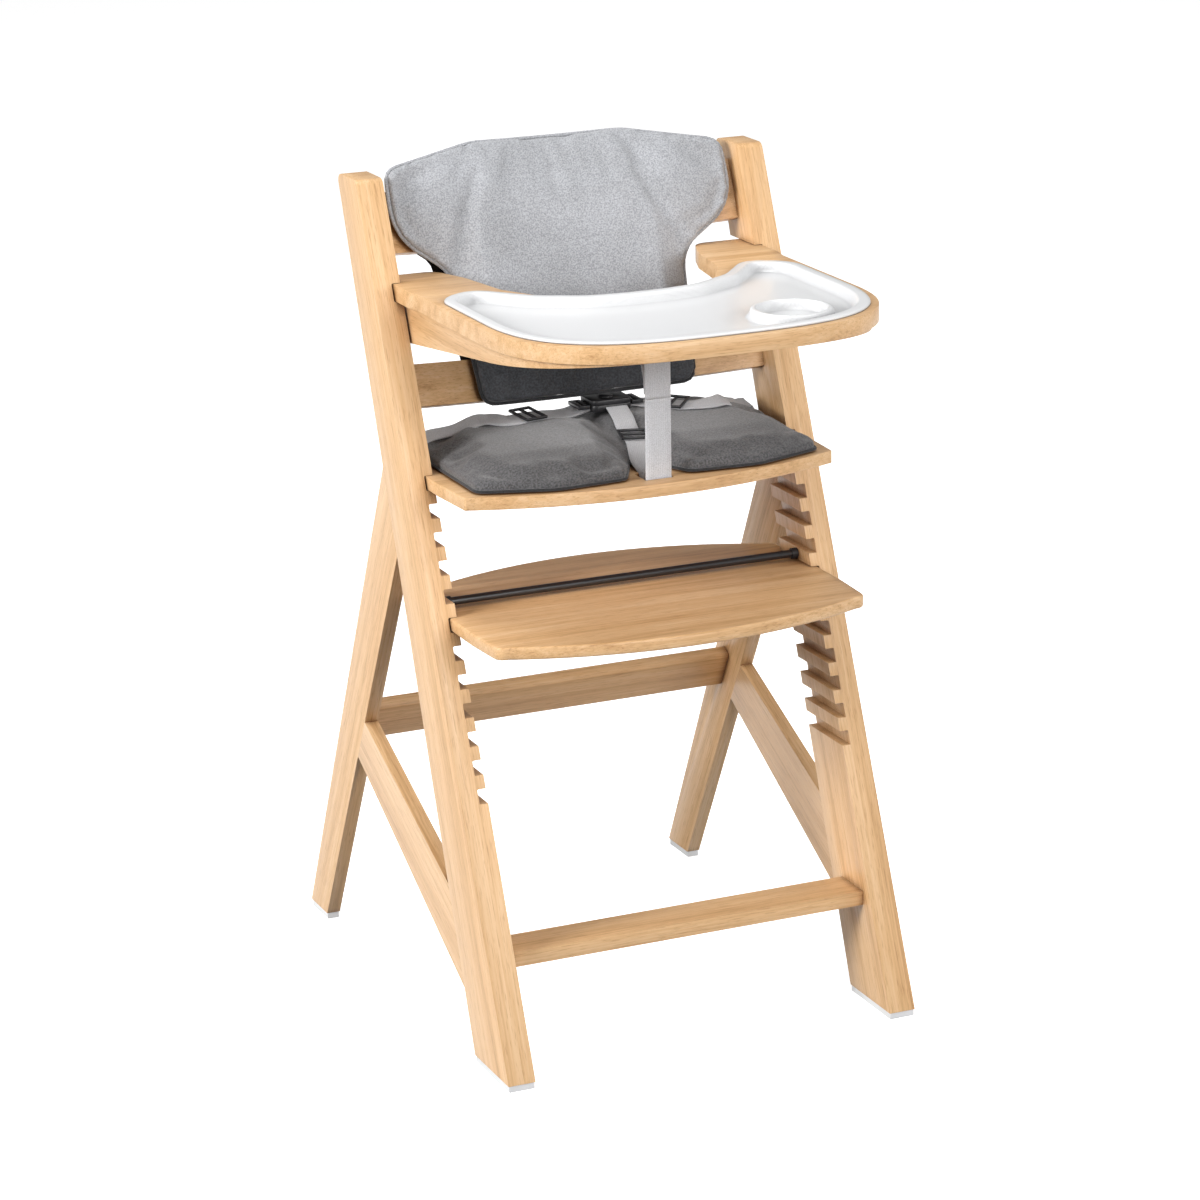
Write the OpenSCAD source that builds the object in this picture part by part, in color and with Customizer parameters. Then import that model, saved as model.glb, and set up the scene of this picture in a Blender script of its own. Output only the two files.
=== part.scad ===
// Wooden height-adjustable baby high chair with tray, cushions and harness.
// Millimetres, Z up, X across the chair, the child faces -Y. Parts are drawn with Y measured from
// the line where the uprights' front faces meet the floor, and place() then centres the whole chair.

/* [Frame] */
// Overall width over the two side frames
frame_w = 486; // [470:1:520]
// Height of the tops of the uprights
frame_h = 915; // [905:1:930]
// Backward lean of the uprights in degrees
lean = 22.6; // [22:0.1:23.2]
// Thickness of the uprights
upright_t = 31; // [30:0.5:34]
// Thickness of the rear legs and braces
leg_t = 16; // [14:0.5:20]
// Front-to-back depth of an upright at the floor
foot_depth = 95; // [90:1:100]
// Front-to-back depth of an upright at its top
head_depth = 58; // [56:1:64]
// Height of the foot glides
glide_h = 7.5; // [5:0.5:10]

/* [Grooves] */
// Number of seat and footrest grooves
groove_count = 12; // [8:1:13]
// Height step from one groove to the next
groove_pitch = 28.6; // [27:0.1:30]
// Depth of the grooves
groove_depth = 10; // [8:0.5:12]
// Height of the ceiling of the topmost seat groove
top_groove_z = 613.8; // [608:0.1:618]
// Which groove holds the footrest, counted down from the seat's
footrest_groove = 5; // [5:1:5]
// Height of the ceiling of the tray groove
tray_groove_z = 808.6; // [800:0.1:815]

/* [Boards] */
// Thickness of the seat and footrest boards
board_t = 14; // [12:0.5:15]
// Thickness of the tray board
tray_t = 18; // [16:0.5:20]
// Gap above and below a board in its groove
board_gap = 0.5; // [0.3:0.1:0.8]

/* [Soft goods] */
// Thickness of the seat cushion
cushion_t = 26; // [22:1:28]
// Thickness of the back cushion
back_pad_t = 24; // [18:1:26]
// Width of the harness webbing
web_w = 25; // [20:1:26]

/* [Hidden] */

arc_steps = 8;          // straight pieces in each rounded corner
bore_gap = 0.1;         // all round a dowel or rod in its bore
dowel_d = 8;
dowel_half = 14;        // how far a dowel goes into each piece
rod_d = 9;
rod_socket = 16;        // depth of the tie rod's blind socket
screw_d = 3.5;
groove_h = board_t + 2 * board_gap;
tray_groove_h = tray_t + 2 * board_gap;
groove_r = 1.5;         // rounding of a groove's top inner corner

front_slope = tan(lean);
half_w = frame_w / 2;
inner_x = half_w - upright_t;                 // inner face of an upright
leg_inner_x = half_w - leg_t;                 // inner face of a rear leg
board_half = inner_x + groove_depth - 1.8;    // half width of a board in its grooves
rear_slope = front_slope - (foot_depth - head_depth) / frame_h;

// Seat and footrest outlines, as Y of their main points
front_corner_in = 4;                          // how much narrower a board is at its front corners
seat_corner_y = 153;
seat_front_y = 112;
seat_back_corner_y = 385;
seat_back_y = 422;
foot_corner_y = 71;
foot_front_y = 29;
foot_back_corner_y = 308;
foot_back_y = 360;

// Rear legs and braces: where their edges meet the floor, the upright and each other
leg_foot_front_y = 563;
leg_foot_rear_y = 617;
leg_top_z = 610.5;
leg_crotch_z = 517.4;
brace_rear_top_z = 291.5;
brace_rear_low_z = 243;
brace_front_top_z = 182;
brace_front_low_z = 76;

// Crossbars and slats
front_bar = [68, 113.5, 52, 16];              // Y, Z of the low front corner, depth, height
rear_bar_tilt = 28.4;
rear_bar = [462.6, 252.7, 18, 50];            // Y, Z of the low front corner, depth, height
slat_t = 14;
slat_bow = 25;
upper_slat = [914, 29, 68];                   // distance up the lean, depth behind the face, height
lower_slat = [744, 29, 47];
slat_radius = (inner_x * inner_x + slat_bow * slat_bow) / (2 * slat_bow);
slat_face_z = upper_slat[1] + slat_bow - slat_radius;   // axis of the slats' front curve

rod_y = 232;
rod_z = top_groove_z - footrest_groove * groove_pitch + (groove_pitch - groove_h) / 2;

seat_z = top_groove_z - board_gap - board_t;                             // underside of the seat board
foot_z = top_groove_z - footrest_groove * groove_pitch - board_gap - board_t;
seat_top = seat_z + board_t;
tray_z = tray_groove_z - board_gap - tray_t;
tray_top = tray_z + tray_t;

// Tray: a superellipse at the front, two arms behind
tray_half = 216.5;
tray_mid_y = 120;
tray_reach = 182;
tray_power = 2.9;
tray_front_y = tray_mid_y - tray_reach;
tray_arm_y = 378;
pocket_depth = 10;
rim_t = 3;                                    // rim of the insert above the board
insert_wall = 2;
rail_drop = 45;                               // height of a tray rail at the upright

// Harness
slot_front_y = 133;
slot_rear_y = 165;
tray_strap_y = 135.5;
web_t = 1.8;
cushion_top = seat_top + 0.5 + cushion_t;
web_z = cushion_top + 0.5;                    // underside of the webbing on the cushion
buckle_at = [28, 338];
buckle_size = [48, 40, 13];
buckle_z = cushion_top + 3;
waist_drop = [207, 338];                      // where a waist strap goes down through the seat
left_run = [[-207, 338], [-150, 338], [-95, 320], [-45, 336], [-4, 338]];
right_run = [[60, 338], [116, 288], [150, 292], [182, 328], [207, 338]];
crotch_run = [[32, 316], [20, 240], [2, 182], [2, 162]];
left_slider_at = [-70, 328];
right_slider_at = [95, 306.75];
crotch_slider_at = [20.6, 244];
button_r = 8;
soft_gap = 0.5;

mid_y = (leg_foot_rear_y + tray_front_y) / 2;

oak = "burlywood";
webbing = "lightgray";
black_plastic = [0.1, 0.1, 0.11];

// ---------- helpers ----------

module place() translate([0, -mid_y, 0]) children();

function front_y(z) = z * front_slope;
function rear_y(z) = foot_depth + z * rear_slope;
function leg_front_y(z) = leg_foot_front_y + (rear_y(leg_crotch_z) - leg_foot_front_y)
    * (z - glide_h) / (leg_crotch_z - glide_h);
function unit(v) = v / norm(v);

// Points of a closed outline whose corners [x, y, radius] are rounded with true arcs
function corner_arc(a, b, c, r) =
    let (u = unit(a - b), v = unit(c - b), half = acos(max(-1, min(1, u * v))) / 2,
         centre = b + unit(u + v) * r / sin(half), turn = 180 - 2 * half,
         p = b + u * r / tan(half) - centre, q = b + v * r / tan(half) - centre)
    [for (i = [0:arc_steps]) let (s = i / arc_steps)
        centre + (sin((1 - s) * turn) * p + sin(s * turn) * q) / sin(turn)];
function rounded(pts) =
    let (n = len(pts), xy = [for (p = pts) [p[0], p[1]]])
    [for (i = [0:n - 1]) each pts[i][2] > 0
        ? corner_arc(xy[(i + n - 1) % n], xy[i], xy[(i + 1) % n], pts[i][2]) : [xy[i]]];
// Points of an arc through (-half, y_end), (0, y_mid) and (half, y_end), from left to right
function bow(half, y_end, y_mid, n = 24) =
    let (s = y_end - y_mid, r = (half * half + s * s) / (2 * s), a = asin(half / r))
    [for (i = [0:n]) let (t = -a + 2 * a * i / n) [r * sin(t), y_mid + r - r * cos(t)]];
function mirrored(right) = concat(right, [for (i = [len(right) - 1:-1:0]) [-right[i][0], right[i][1], right[i][2]]]);

// A side-view outline in Y and Z, made into a plate between two X planes
module side_plate(pts, x0, x1)
    translate([x0, 0, 0]) rotate([90, 0, 90]) linear_extrude(x1 - x0) polygon(pts);

module mirror_if(flip) mirror([flip ? 1 : 0, 0, 0]) children();

// Places children in the leaning frame: its Y runs up the uprights' front faces, its Z behind them
module on_lean() rotate([90 - lean, 0, 0]) mirror([0, 0, 1]) children();

module x_rod(d, x0, x1, y, z) translate([x0, y, z]) rotate([0, 90, 0]) cylinder(d = d, h = x1 - x0, $fn = 32);

// ---------- dowel and rod positions ----------

front_dowels = [[front_bar[0] + 14, front_bar[1] + 8], [front_bar[0] + 38, front_bar[1] + 8]];
rear_dowel_steps = [12, 38];
slat_dowels = [[upper_slat, 17], [upper_slat, 51], [lower_slat, 12], [lower_slat, 35]];

module front_dowel_rods(d)
    for (p = front_dowels, s = [-1, 1])
        x_rod(d, s * inner_x - dowel_half, s * inner_x + dowel_half, p[0], p[1]);

module rear_dowel_rods(d)
    translate([0, rear_bar[0], rear_bar[1]]) rotate([rear_bar_tilt, 0, 0])
        for (h = rear_dowel_steps, s = [-1, 1])
            x_rod(d, s * leg_inner_x - 10, s * leg_inner_x + 10, rear_bar[2] / 2, h);

module slat_dowel_rods(d)
    on_lean() for (p = slat_dowels, s = [-1, 1])
        x_rod(d, s * inner_x - 12, s * inner_x + 12, p[0][0] + p[1], p[0][1] + slat_t / 2);

// Dowels of one side frame: through the glued faces of leg, brace and upright
module side_dowel_rods(d) {
    for (z = [545, 580])
        translate([half_w - leg_t / 2, rear_y(z), z]) rotate([90 - lean, 0, 0])
            cylinder(d = d, h = 36, center = true, $fn = 32);
    for (z = [110, 150])
        translate([half_w - leg_t / 2, rear_y(z), z]) rotate([90 - lean, 0, 0])
            cylinder(d = d, h = 36, center = true, $fn = 32);
    for (z = [258, 277])
        translate([half_w - leg_t / 2, leg_front_y(z), z]) rotate([90 + rear_bar_tilt, 0, 0])
            cylinder(d = d, h = 30, center = true, $fn = 32);
}

// ---------- side frames ----------

module groove(ceiling, height) {
    // flat floor and ceiling, with the top inner corner rounded
    x1 = inner_x + groove_depth;
    translate([0, foot_depth + frame_h, ceiling - height]) rotate([90, 0, 0])
        linear_extrude(foot_depth + 2 * frame_h)
            polygon(rounded([[inner_x - 5, 0, 0], [x1, 0, 0], [x1, height, groove_r], [inner_x - 5, height, 0]]));
}

module upright(flip) color(oak) place() mirror_if(flip) difference() {
    side_plate(rounded([
        [front_y(glide_h), glide_h, 0], [rear_y(glide_h), glide_h, 0],
        [rear_y(frame_h), frame_h, 8], [front_y(frame_h), frame_h, 10]]), inner_x, half_w);
    for (i = [0:groove_count - 1]) groove(top_groove_z - i * groove_pitch, groove_h);
    groove(tray_groove_z, tray_groove_h);
    front_dowel_rods(dowel_d + 2 * bore_gap);
    slat_dowel_rods(dowel_d + 2 * bore_gap);
    side_dowel_rods(dowel_d + 2 * bore_gap);
    x_rod(rod_d + 2 * bore_gap, inner_x - 1, inner_x + rod_socket, rod_y, rod_z);
    glide_screw_pair(screw_d, front_glide_y());
}

module rear_leg(flip) color(oak) place() mirror_if(flip) difference() {
    side_plate([
        [leg_foot_front_y, glide_h], [leg_foot_rear_y, glide_h],
        [rear_y(leg_top_z), leg_top_z], [rear_y(leg_crotch_z), leg_crotch_z]], leg_inner_x, half_w);
    rear_dowel_rods(dowel_d + 2 * bore_gap);
    side_dowel_rods(dowel_d + 2 * bore_gap);
    glide_screw_pair(screw_d, rear_glide_y());
}

module brace(flip) color(oak) place() mirror_if(flip) difference() {
    side_plate([
        [leg_front_y(brace_rear_top_z), brace_rear_top_z], [rear_y(brace_front_top_z), brace_front_top_z],
        [rear_y(brace_front_low_z), brace_front_low_z], [leg_front_y(brace_rear_low_z), brace_rear_low_z]],
        leg_inner_x, half_w);
    side_dowel_rods(dowel_d + 2 * bore_gap);
}

module side_frame_dowels() color("wheat") place()
    for (f = [false, true]) mirror_if(f) side_dowel_rods(dowel_d);

// ---------- glides ----------

function front_glide_y() = [front_y(glide_h) + 1, rear_y(glide_h) - 1];
function rear_glide_y() = [leg_foot_front_y + 1, leg_foot_rear_y - 1];

module glide_screw_pair(d, span)
    for (k = [0.25, 0.75])
        translate([half_w - leg_t / 2, span[0] + k * (span[1] - span[0]), 2])
            cylinder(d = d, h = glide_h + 14, $fn = 24);

module glide(flip, span, thick) color("whitesmoke") place() mirror_if(flip) difference() {
    translate([half_w - thick + 1, span[0], 0]) cube([thick - 2, span[1] - span[0], glide_h]);
    glide_screw_pair(screw_d + 0.3, span);
    for (k = [0.25, 0.75])
        translate([half_w - leg_t / 2, span[0] + k * (span[1] - span[0]), -1])
            cylinder(d = 8.4, h = 4.2, $fn = 24);
}

module glide_screws() color("silver") place()
    for (f = [false, true], span = [front_glide_y(), rear_glide_y()], k = [0.25, 0.75])
        mirror_if(f) translate([half_w - leg_t / 2, span[0] + k * (span[1] - span[0]), 1]) {
            cylinder(d = 8, h = 2, $fn = 24);
            cylinder(d = screw_d - 0.2, h = glide_h + 11, $fn = 24);
        }

// ---------- crossbars, slats and tie rod ----------

module front_crossbar() color(oak) place() difference() {
    side_plate([
        [front_bar[0], front_bar[1]], [front_bar[0] + front_bar[2], front_bar[1]],
        [front_bar[0] + front_bar[2], front_bar[1] + front_bar[3]], [front_bar[0], front_bar[1] + front_bar[3]]],
        -inner_x, inner_x);
    front_dowel_rods(dowel_d + 2 * bore_gap);
}

module rear_crossbar() color(oak) place() difference() {
    translate([0, rear_bar[0], rear_bar[1]]) rotate([rear_bar_tilt, 0, 0])
        side_plate(rounded([[0, 0, 3], [rear_bar[2], 0, 3], [rear_bar[2], rear_bar[3], 5], [0, rear_bar[3], 5]]),
            -leg_inner_x, leg_inner_x);
    rear_dowel_rods(dowel_d + 2 * bore_gap);
}

// A slat bent backwards: a stretch of a thin cylinder wall whose axis follows the lean
module curved_slat(slat) color(oak) place() difference() {
    on_lean() intersection() {
        translate([0, slat[0], slat[1] - slat_radius + slat_bow]) rotate([-90, 0, 0]) difference() {
            cylinder(r = slat_radius + slat_t, h = slat[2], $fn = 180);
            translate([0, 0, -1]) cylinder(r = slat_radius, h = slat[2] + 2, $fn = 180);
        }
        translate([-inner_x, slat[0] - 1, slat[1] - 20]) cube([2 * inner_x, slat[2] + 2, slat_bow + slat_t + 40]);
    }
    slat_dowel_rods(dowel_d + 2 * bore_gap);
}

module front_crossbar_dowels() color("wheat") place() front_dowel_rods(dowel_d);
module rear_crossbar_dowels() color("wheat") place() rear_dowel_rods(dowel_d);
module back_slat_dowels() color("wheat") place() slat_dowel_rods(dowel_d);

module footrest_tie_rod() color("black") place()
    x_rod(rod_d, 1 - inner_x - rod_socket, inner_x + rod_socket - 1, rod_y, rod_z);

module tie_rod_collars() color(black_plastic) place()
    for (s = [-1, 1]) difference() {
        x_rod(12, s > 0 ? inner_x - 7 : -inner_x, s > 0 ? inner_x : 7 - inner_x, rod_y, rod_z);
        x_rod(rod_d + 2 * bore_gap, -half_w, half_w, rod_y, rod_z);
    }

// ---------- seat and footrest ----------

module board(corner_y, mid_front, back_corner, mid_back, corner_r, z) {
    // bowed front and rear edges, straight sides, rounded front corners
    front_half = board_half - front_corner_in;
    sides = rounded([
        [-front_half, corner_y, corner_r], [front_half, corner_y, corner_r], [board_half, corner_y + 65, 0],
        [board_half, back_corner, 14], [-board_half, back_corner, 14], [-board_half, corner_y + 65, 0]]);
    front_end = front_half - corner_r;
    translate([0, 0, z]) linear_extrude(board_t) {
        polygon(sides);
        polygon(bow(front_end, corner_y, mid_front));
        polygon(bow(board_half - 14, back_corner, mid_back));
    }
}

module strap_slots() {
    translate([-web_w / 2 - 4, slot_front_y, seat_z - 20]) cube([web_w + 8, slot_rear_y - slot_front_y, 60]);
    for (s = [-1, 1])
        translate([s * waist_drop[0] - 2.5, waist_drop[1] - web_w / 2 - 2, seat_z - 20]) cube([5, web_w + 4, 60]);
}

module seat_board() color(oak) place() difference() {
    board(seat_corner_y, seat_front_y, seat_back_corner_y, seat_back_y, 3, seat_z);
    strap_slots();
}

module footrest_board() color(oak) place()
    board(foot_corner_y, foot_front_y, foot_back_corner_y, foot_back_y, 12, foot_z);

// ---------- tray ----------

function tray_front_points(inset) = [for (i = [0:40]) let (t = 180 + 180 * i / 40,
    c = cos(t), s = -sin(t))
    [sign(c) * (tray_half - inset) * pow(abs(c), 2 / tray_power),
     tray_mid_y - (tray_reach - inset) * pow(max(0, s), 2 / tray_power)]];

// The arms and the child's side of the tray, right half
tray_rear_right = [
    [tray_half, 275, 30], [board_half, 292, 30], [board_half, tray_arm_y, 6], [157, tray_arm_y, 20],
    [140, 330, 40], [128, 255, 30], [88, 180, 85], [30, 171, 60]];

module tray_outline() {
    polygon(concat(tray_front_points(0), rounded(concat(
        [[tray_half, tray_mid_y, 0]], mirrored(tray_rear_right), [[-tray_half, tray_mid_y, 0]]))));
}

insert_half = tray_half - 8;
insert_rear_right = [[insert_half, 234, 46], [160, 262, 30], [112, 204, 50], [62, 176, 80], [20, 170.5, 40]];

function left_of(a, b) = let (d = unit(b - a)) [-d[1], d[0]];
// The right half of a closed outline, moved inwards by d, with its corner radii kept concentric
function inset_corners(pts, d) =
    let (n = len(pts), last = pts[n - 1],
         xy = concat([[insert_half, tray_mid_y]], [for (p = pts) [p[0], p[1]]], [[-last[0], last[1]]]))
    [for (i = [1:n]) let (a = left_of(xy[i - 1], xy[i]), b = left_of(xy[i], xy[i + 1]),
        p = xy[i] + d * (a + b) / (1 + a * b))
        [p[0], p[1], max(6, pts[i - 1][2] - sign(cross(a, b)) * d)]];

module insert_outline(inset)
    polygon(concat(tray_front_points(8 + inset), rounded(concat(
        [[insert_half - inset, tray_mid_y, 0]], mirrored(inset_corners(insert_rear_right, inset)),
        [[inset - insert_half, tray_mid_y, 0]]))));

module tray_board() color(oak) place() difference() {
    translate([0, 0, tray_z]) linear_extrude(tray_t) tray_outline();
    translate([0, 0, tray_top - pocket_depth]) linear_extrude(pocket_depth + 1) insert_outline(10);
    tray_screw_holes(screw_d - 0.2);
}

// A rail under each side of the tray: it guides the tray between the uprights and tapers to the front
module tray_rail(flip) color(oak) place() mirror_if(flip) difference() {
    translate([0, 0, tray_z - rail_drop]) linear_extrude(rail_drop) intersection() {
        difference() {
            polygon(concat(tray_front_points(7), [[inner_x - 2.2, 352], [-inner_x, 352]]));
            polygon(concat(tray_front_points(21), [[inner_x - 16, 353], [16 - inner_x, 353]]));
        }
        translate([55, -100]) square([inner_x - 57.2, 460]);
    }
    // the lower edge rises straight to the front
    side_plate([[400, tray_z - rail_drop - 9], [-70, tray_z], [-70, tray_z - rail_drop - 20],
        [400, tray_z - rail_drop - 20]], 0, half_w);
    tray_screw_holes(screw_d - 0.2);
}

rail_screws = [[198, 300], [202, 150], [185, 20]];      // X and Y of each side's screws

module tray_screw_holes(d) {
    for (s = [-1, 1], p = rail_screws)
        translate([s * p[0], p[1], tray_z - 12]) cylinder(d = d, h = 18, $fn = 24);
    for (s = [-1, 1])
        translate([s * 18, tray_strap_y + 12, tray_z - 4]) cylinder(d = d, h = 10.5, $fn = 24);
}

module tray_rail_screws() color("silver") place()
    for (s = [-1, 1], p = rail_screws)
        translate([s * p[0], p[1], tray_z - 10]) cylinder(d = screw_d - 0.4, h = 15, $fn = 24);

cup_at = [103, 24];
cup_r = 37;
cup_wall = 11;

module tray_insert() color("white") place() difference() {
    union() {
        translate([0, 0, tray_top + 0.3]) linear_extrude(rim_t) insert_outline(0);
        translate([0, 0, tray_top - pocket_depth + 0.8]) linear_extrude(pocket_depth) insert_outline(13);
    }
    // the well, with the land round the cup recess left standing
    translate([0, 0, tray_top - pocket_depth + 0.8 + insert_wall]) linear_extrude(pocket_depth + 4)
        difference() {
            insert_outline(13 + insert_wall);
            difference() {
                translate(cup_at) circle(r = cup_r + cup_wall, $fn = 64);
                translate(cup_at) circle(r = cup_r, $fn = 64);
            }
        }
}

// ---------- tray strap ----------

module tray_strap() color(webbing) place()
    rotate([90, 0, 90]) linear_extrude(web_w + 2, center = true) polygon([
        [tray_strap_y, seat_z - 8], [tray_strap_y + web_t, seat_z - 8],
        [tray_strap_y + web_t, tray_z - 3], [tray_strap_y, tray_z - 3]]);

module tray_strap_plate() color(black_plastic) place() difference() {
    translate([-26, tray_strap_y - 3, tray_z - 2.4]) cube([52, 36, 2.1]);
    tray_screw_holes(screw_d);
}

module tray_strap_screws() color("silver") place()
    for (s = [-1, 1]) translate([s * 18, tray_strap_y + 12, tray_z - 4]) {
        cylinder(d = 7, h = 1.5, $fn = 24);
        cylinder(d = screw_d - 0.4, h = 10, $fn = 24);
    }

// ---------- cushions ----------

seat_pad_right = [[38, 134, 12], [120, 128, 60], [204, 158, 14], [203, 366, 20], [120, 402, 60]];
seat_pad_notch = [[0, 212, 14]];

module seat_cushion() color("dimgray") place() difference() {
    translate([0, 0, seat_top + soft_gap]) linear_extrude(cushion_t - soft_gap)
        polygon(rounded(concat(seat_pad_notch, mirrored(seat_pad_right))));
    translate([-20, slot_front_y - 10, seat_top - 1]) cube([40, 45, cushion_t + 4]);
}

back_pad_right = [
    [88, 1031, 70], [207, 1003, 22], [211, 930, 54], [138, 884, 48], [132, 790, 30], [128, 738, 14]];

// The pad follows the bend of the slats it leans on
module back_cushion() color("slategray") place() on_lean() intersection() {
    translate([0, 600, slat_face_z]) rotate([-90, 0, 0]) difference() {
        cylinder(r = slat_radius - 1, h = 500, $fn = 180);
        translate([0, 0, -1]) cylinder(r = slat_radius - 1 - back_pad_t, h = 502, $fn = 180);
    }
    linear_extrude(200) polygon(rounded(mirrored(back_pad_right)));
}

// The cover's dark rear panel, a bent sheet behind the slats with a cap over the upper slat
module back_cushion_sleeve() color([0.12, 0.12, 0.13]) place() on_lean() intersection() {
    union() {
        translate([0, 600, slat_face_z]) rotate([-90, 0, 0]) difference() {
            cylinder(r = slat_radius + slat_t + 5, h = 500, $fn = 180);
            translate([0, 0, -1]) cylinder(r = slat_radius + slat_t + 2.5, h = 502, $fn = 180);
        }
        translate([0, upper_slat[0] + upper_slat[2] + 1, slat_face_z]) rotate([-90, 0, 0]) difference() {
            cylinder(r = slat_radius + slat_t + 3, h = 10, $fn = 180);
            translate([0, 0, -1]) cylinder(r = slat_radius - 0.6, h = 20, $fn = 180);
        }
    }
    linear_extrude(200) polygon([[-190, 992], [190, 992], [190, 905], [138, 850], [130, 745],
        [-130, 745], [-138, 850], [-190, 905]]);
}

// ---------- harness ----------

// Webbing that lies flat on the cushion along points in X and Y, mitred where it turns
function side_point(pts, i, side) =
    let (n = len(pts), before = unit(pts[max(i, 1)] - pts[max(i, 1) - 1]),
         after = unit(pts[min(i, n - 2) + 1] - pts[min(i, n - 2)]), d = unit(before + after))
    pts[i] + side * web_w / 2 / (d * before) * [-d[1], d[0]];
module strap_run(pts) translate([0, 0, web_z]) linear_extrude(web_t) polygon(concat(
    [for (i = [0:len(pts) - 1]) side_point(pts, i, 1)],
    [for (i = [len(pts) - 1:-1:0]) side_point(pts, i, -1)]));

// The end of a strap that drops through its slot to below the seat, flat across X or across Y
module strap_drop(at, along) translate([at[0], at[1], seat_z - 8]) rotate([0, 0, along])
    translate([-web_w / 2, -web_t / 2, 0]) cube([web_w, web_t, web_z + web_t - seat_z + 8]);

module crotch_strap() color(webbing) place() {
    strap_run(crotch_run);
    strap_drop(crotch_run[3], 0);
}

module left_waist_strap() color(webbing) place() {
    strap_run(left_run);
    strap_drop([-waist_drop[0], waist_drop[1]], 90);
}

module right_waist_strap() color(webbing) place() {
    strap_run(right_run);
    strap_drop(waist_drop, 90);
}

// A ladder slider: a frame with a middle bar
module slider_frame(length, width) difference() {
    translate([-length / 2, -width / 2, 0]) cube([length, width, 3]);
    for (s = [-1, 1]) translate([s * length / 4 - length / 8 - 1, 3 - width / 2, -1]) cube([length / 4 + 2, width - 6, 5]);
}

module slider(at, run, i) color(black_plastic) place() let (d = run[i + 1] - run[i])
    translate([at[0], at[1], web_z + web_t + 0.3]) rotate([0, 0, atan2(d[1], d[0])])
        slider_frame(30, web_w + 8);

// Plastic bars under the seat with a slit for the end of each strap
module retainer(at, along) translate([at[0], at[1], seat_z - 3.3]) rotate([0, 0, along]) difference() {
    translate([-18, -4.5, 0]) cube([36, 9, 3]);
    translate([-web_w / 2 - 1.5, -web_t / 2 - 0.3, -1]) cube([web_w + 3, web_t + 0.6, 5]);
}

module strap_retainers() color(black_plastic) place() {
    for (s = [-1, 1]) retainer([s * waist_drop[0], waist_drop[1]], 90);
    retainer(crotch_run[3], 0);
    retainer([0, tray_strap_y + web_t / 2], 0);
}

// A tongue: a blade that goes into the buckle and a loop that holds the strap
module tongue(flip, x_face) color(black_plastic) place() mirror_if(flip)
    translate([x_face, buckle_at[1], buckle_z + 5]) difference() {
        union() {
            translate([-12.5, -8, 0]) cube([14.5, 16, 2.4]);
            translate([1, -web_w / 2 - 3, -1]) cube([14, web_w + 6, 4.4]);
        }
        translate([5, -web_w / 2, -2]) cube([5, web_w, 8]);
        translate([-9, -3, -1]) cube([4, 6, 5]);
    }

module buckle_body() color(black_plastic) place() translate([buckle_at[0], buckle_at[1], buckle_z]) difference() {
    linear_extrude(8) buckle_plan(0);
    translate([0, 0, 2]) linear_extrude(7) buckle_plan(2);
    translate([-buckle_size[0], -8.6, 4.3]) cube([2 * buckle_size[0], 17.2, 5]);
}

module buckle_plan(inset)
    polygon(rounded([for (c = [[-1, -1], [1, -1], [1, 1], [-1, 1]])
        [c[0] * (buckle_size[0] / 2 - inset), c[1] * (buckle_size[1] / 2 - inset), 7 - inset]]));

module buckle_cover() color(black_plastic) place() translate([buckle_at[0], buckle_at[1], buckle_z + 8.2]) difference() {
    linear_extrude(buckle_size[2] - 8.2) buckle_plan(0);
    translate([0, 0, -1]) linear_extrude(4) buckle_plan(3);
    translate([0, 0, -1]) cylinder(r = button_r + 0.5, h = 10, $fn = 48);
}

module buckle_button() color([0.16, 0.16, 0.17]) place() translate([buckle_at[0], buckle_at[1], buckle_z]) {
    translate([0, 0, 9]) cylinder(r = button_r, h = 5.4, $fn = 48);
    translate([0, 0, 8.2]) cylinder(r = button_r + 2, h = 2, $fn = 48);
}

// The spring under the button, drawn as its coils
module button_spring() color("silver") place()
    for (i = [0:4]) translate([buckle_at[0], buckle_at[1], buckle_z + 2.6 + i * 1.2])
        rotate_extrude($fn = 32) translate([3, 0]) circle(d = 0.9, $fn = 16);

// ---------- assembly ----------

upright(true);  // left_upright
upright(false);  // right_upright
rear_leg(true);  // left_rear_leg
rear_leg(false);  // right_rear_leg
brace(true);  // left_brace
brace(false);  // right_brace
front_crossbar();
rear_crossbar();
curved_slat(upper_slat);  // upper_back_slat
curved_slat(lower_slat);  // lower_back_slat
front_crossbar_dowels();
rear_crossbar_dowels();
back_slat_dowels();
side_frame_dowels();
footrest_tie_rod();
tie_rod_collars();
glide(true, front_glide_y(), upright_t);  // left_front_glide
glide(false, front_glide_y(), upright_t);  // right_front_glide
glide(true, rear_glide_y(), leg_t);  // left_rear_glide
glide(false, rear_glide_y(), leg_t);  // right_rear_glide
glide_screws();
seat_board();
footrest_board();
strap_retainers();
tray_board();
tray_rail(true);  // tray_left_rail
tray_rail(false);  // tray_right_rail
tray_rail_screws();
tray_insert();
tray_strap();
tray_strap_plate();
tray_strap_screws();
seat_cushion();
back_cushion();
back_cushion_sleeve();
crotch_strap();
left_waist_strap();
right_waist_strap();
slider(crotch_slider_at, crotch_run, 0);  // crotch_slider
slider(left_slider_at, left_run, 2);  // left_slider
slider(right_slider_at, right_run, 0);  // right_slider
tongue(true, buckle_size[0] / 2 - buckle_at[0]);  // left_tongue
tongue(false, buckle_size[0] / 2 + buckle_at[0]);  // right_tongue
buckle_body();
buckle_cover();
buckle_button();
button_spring();
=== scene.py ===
"""A wooden baby high chair: oak frame, sliding tray with a plastic insert, sewn pads and a harness."""
import math

import bmesh
import bpy
import numpy as np
from mathutils import Matrix, Vector, noise
from mathutils.bvhtree import BVHTree
from mathutils.geometry import delaunay_2d_cdt


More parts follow.
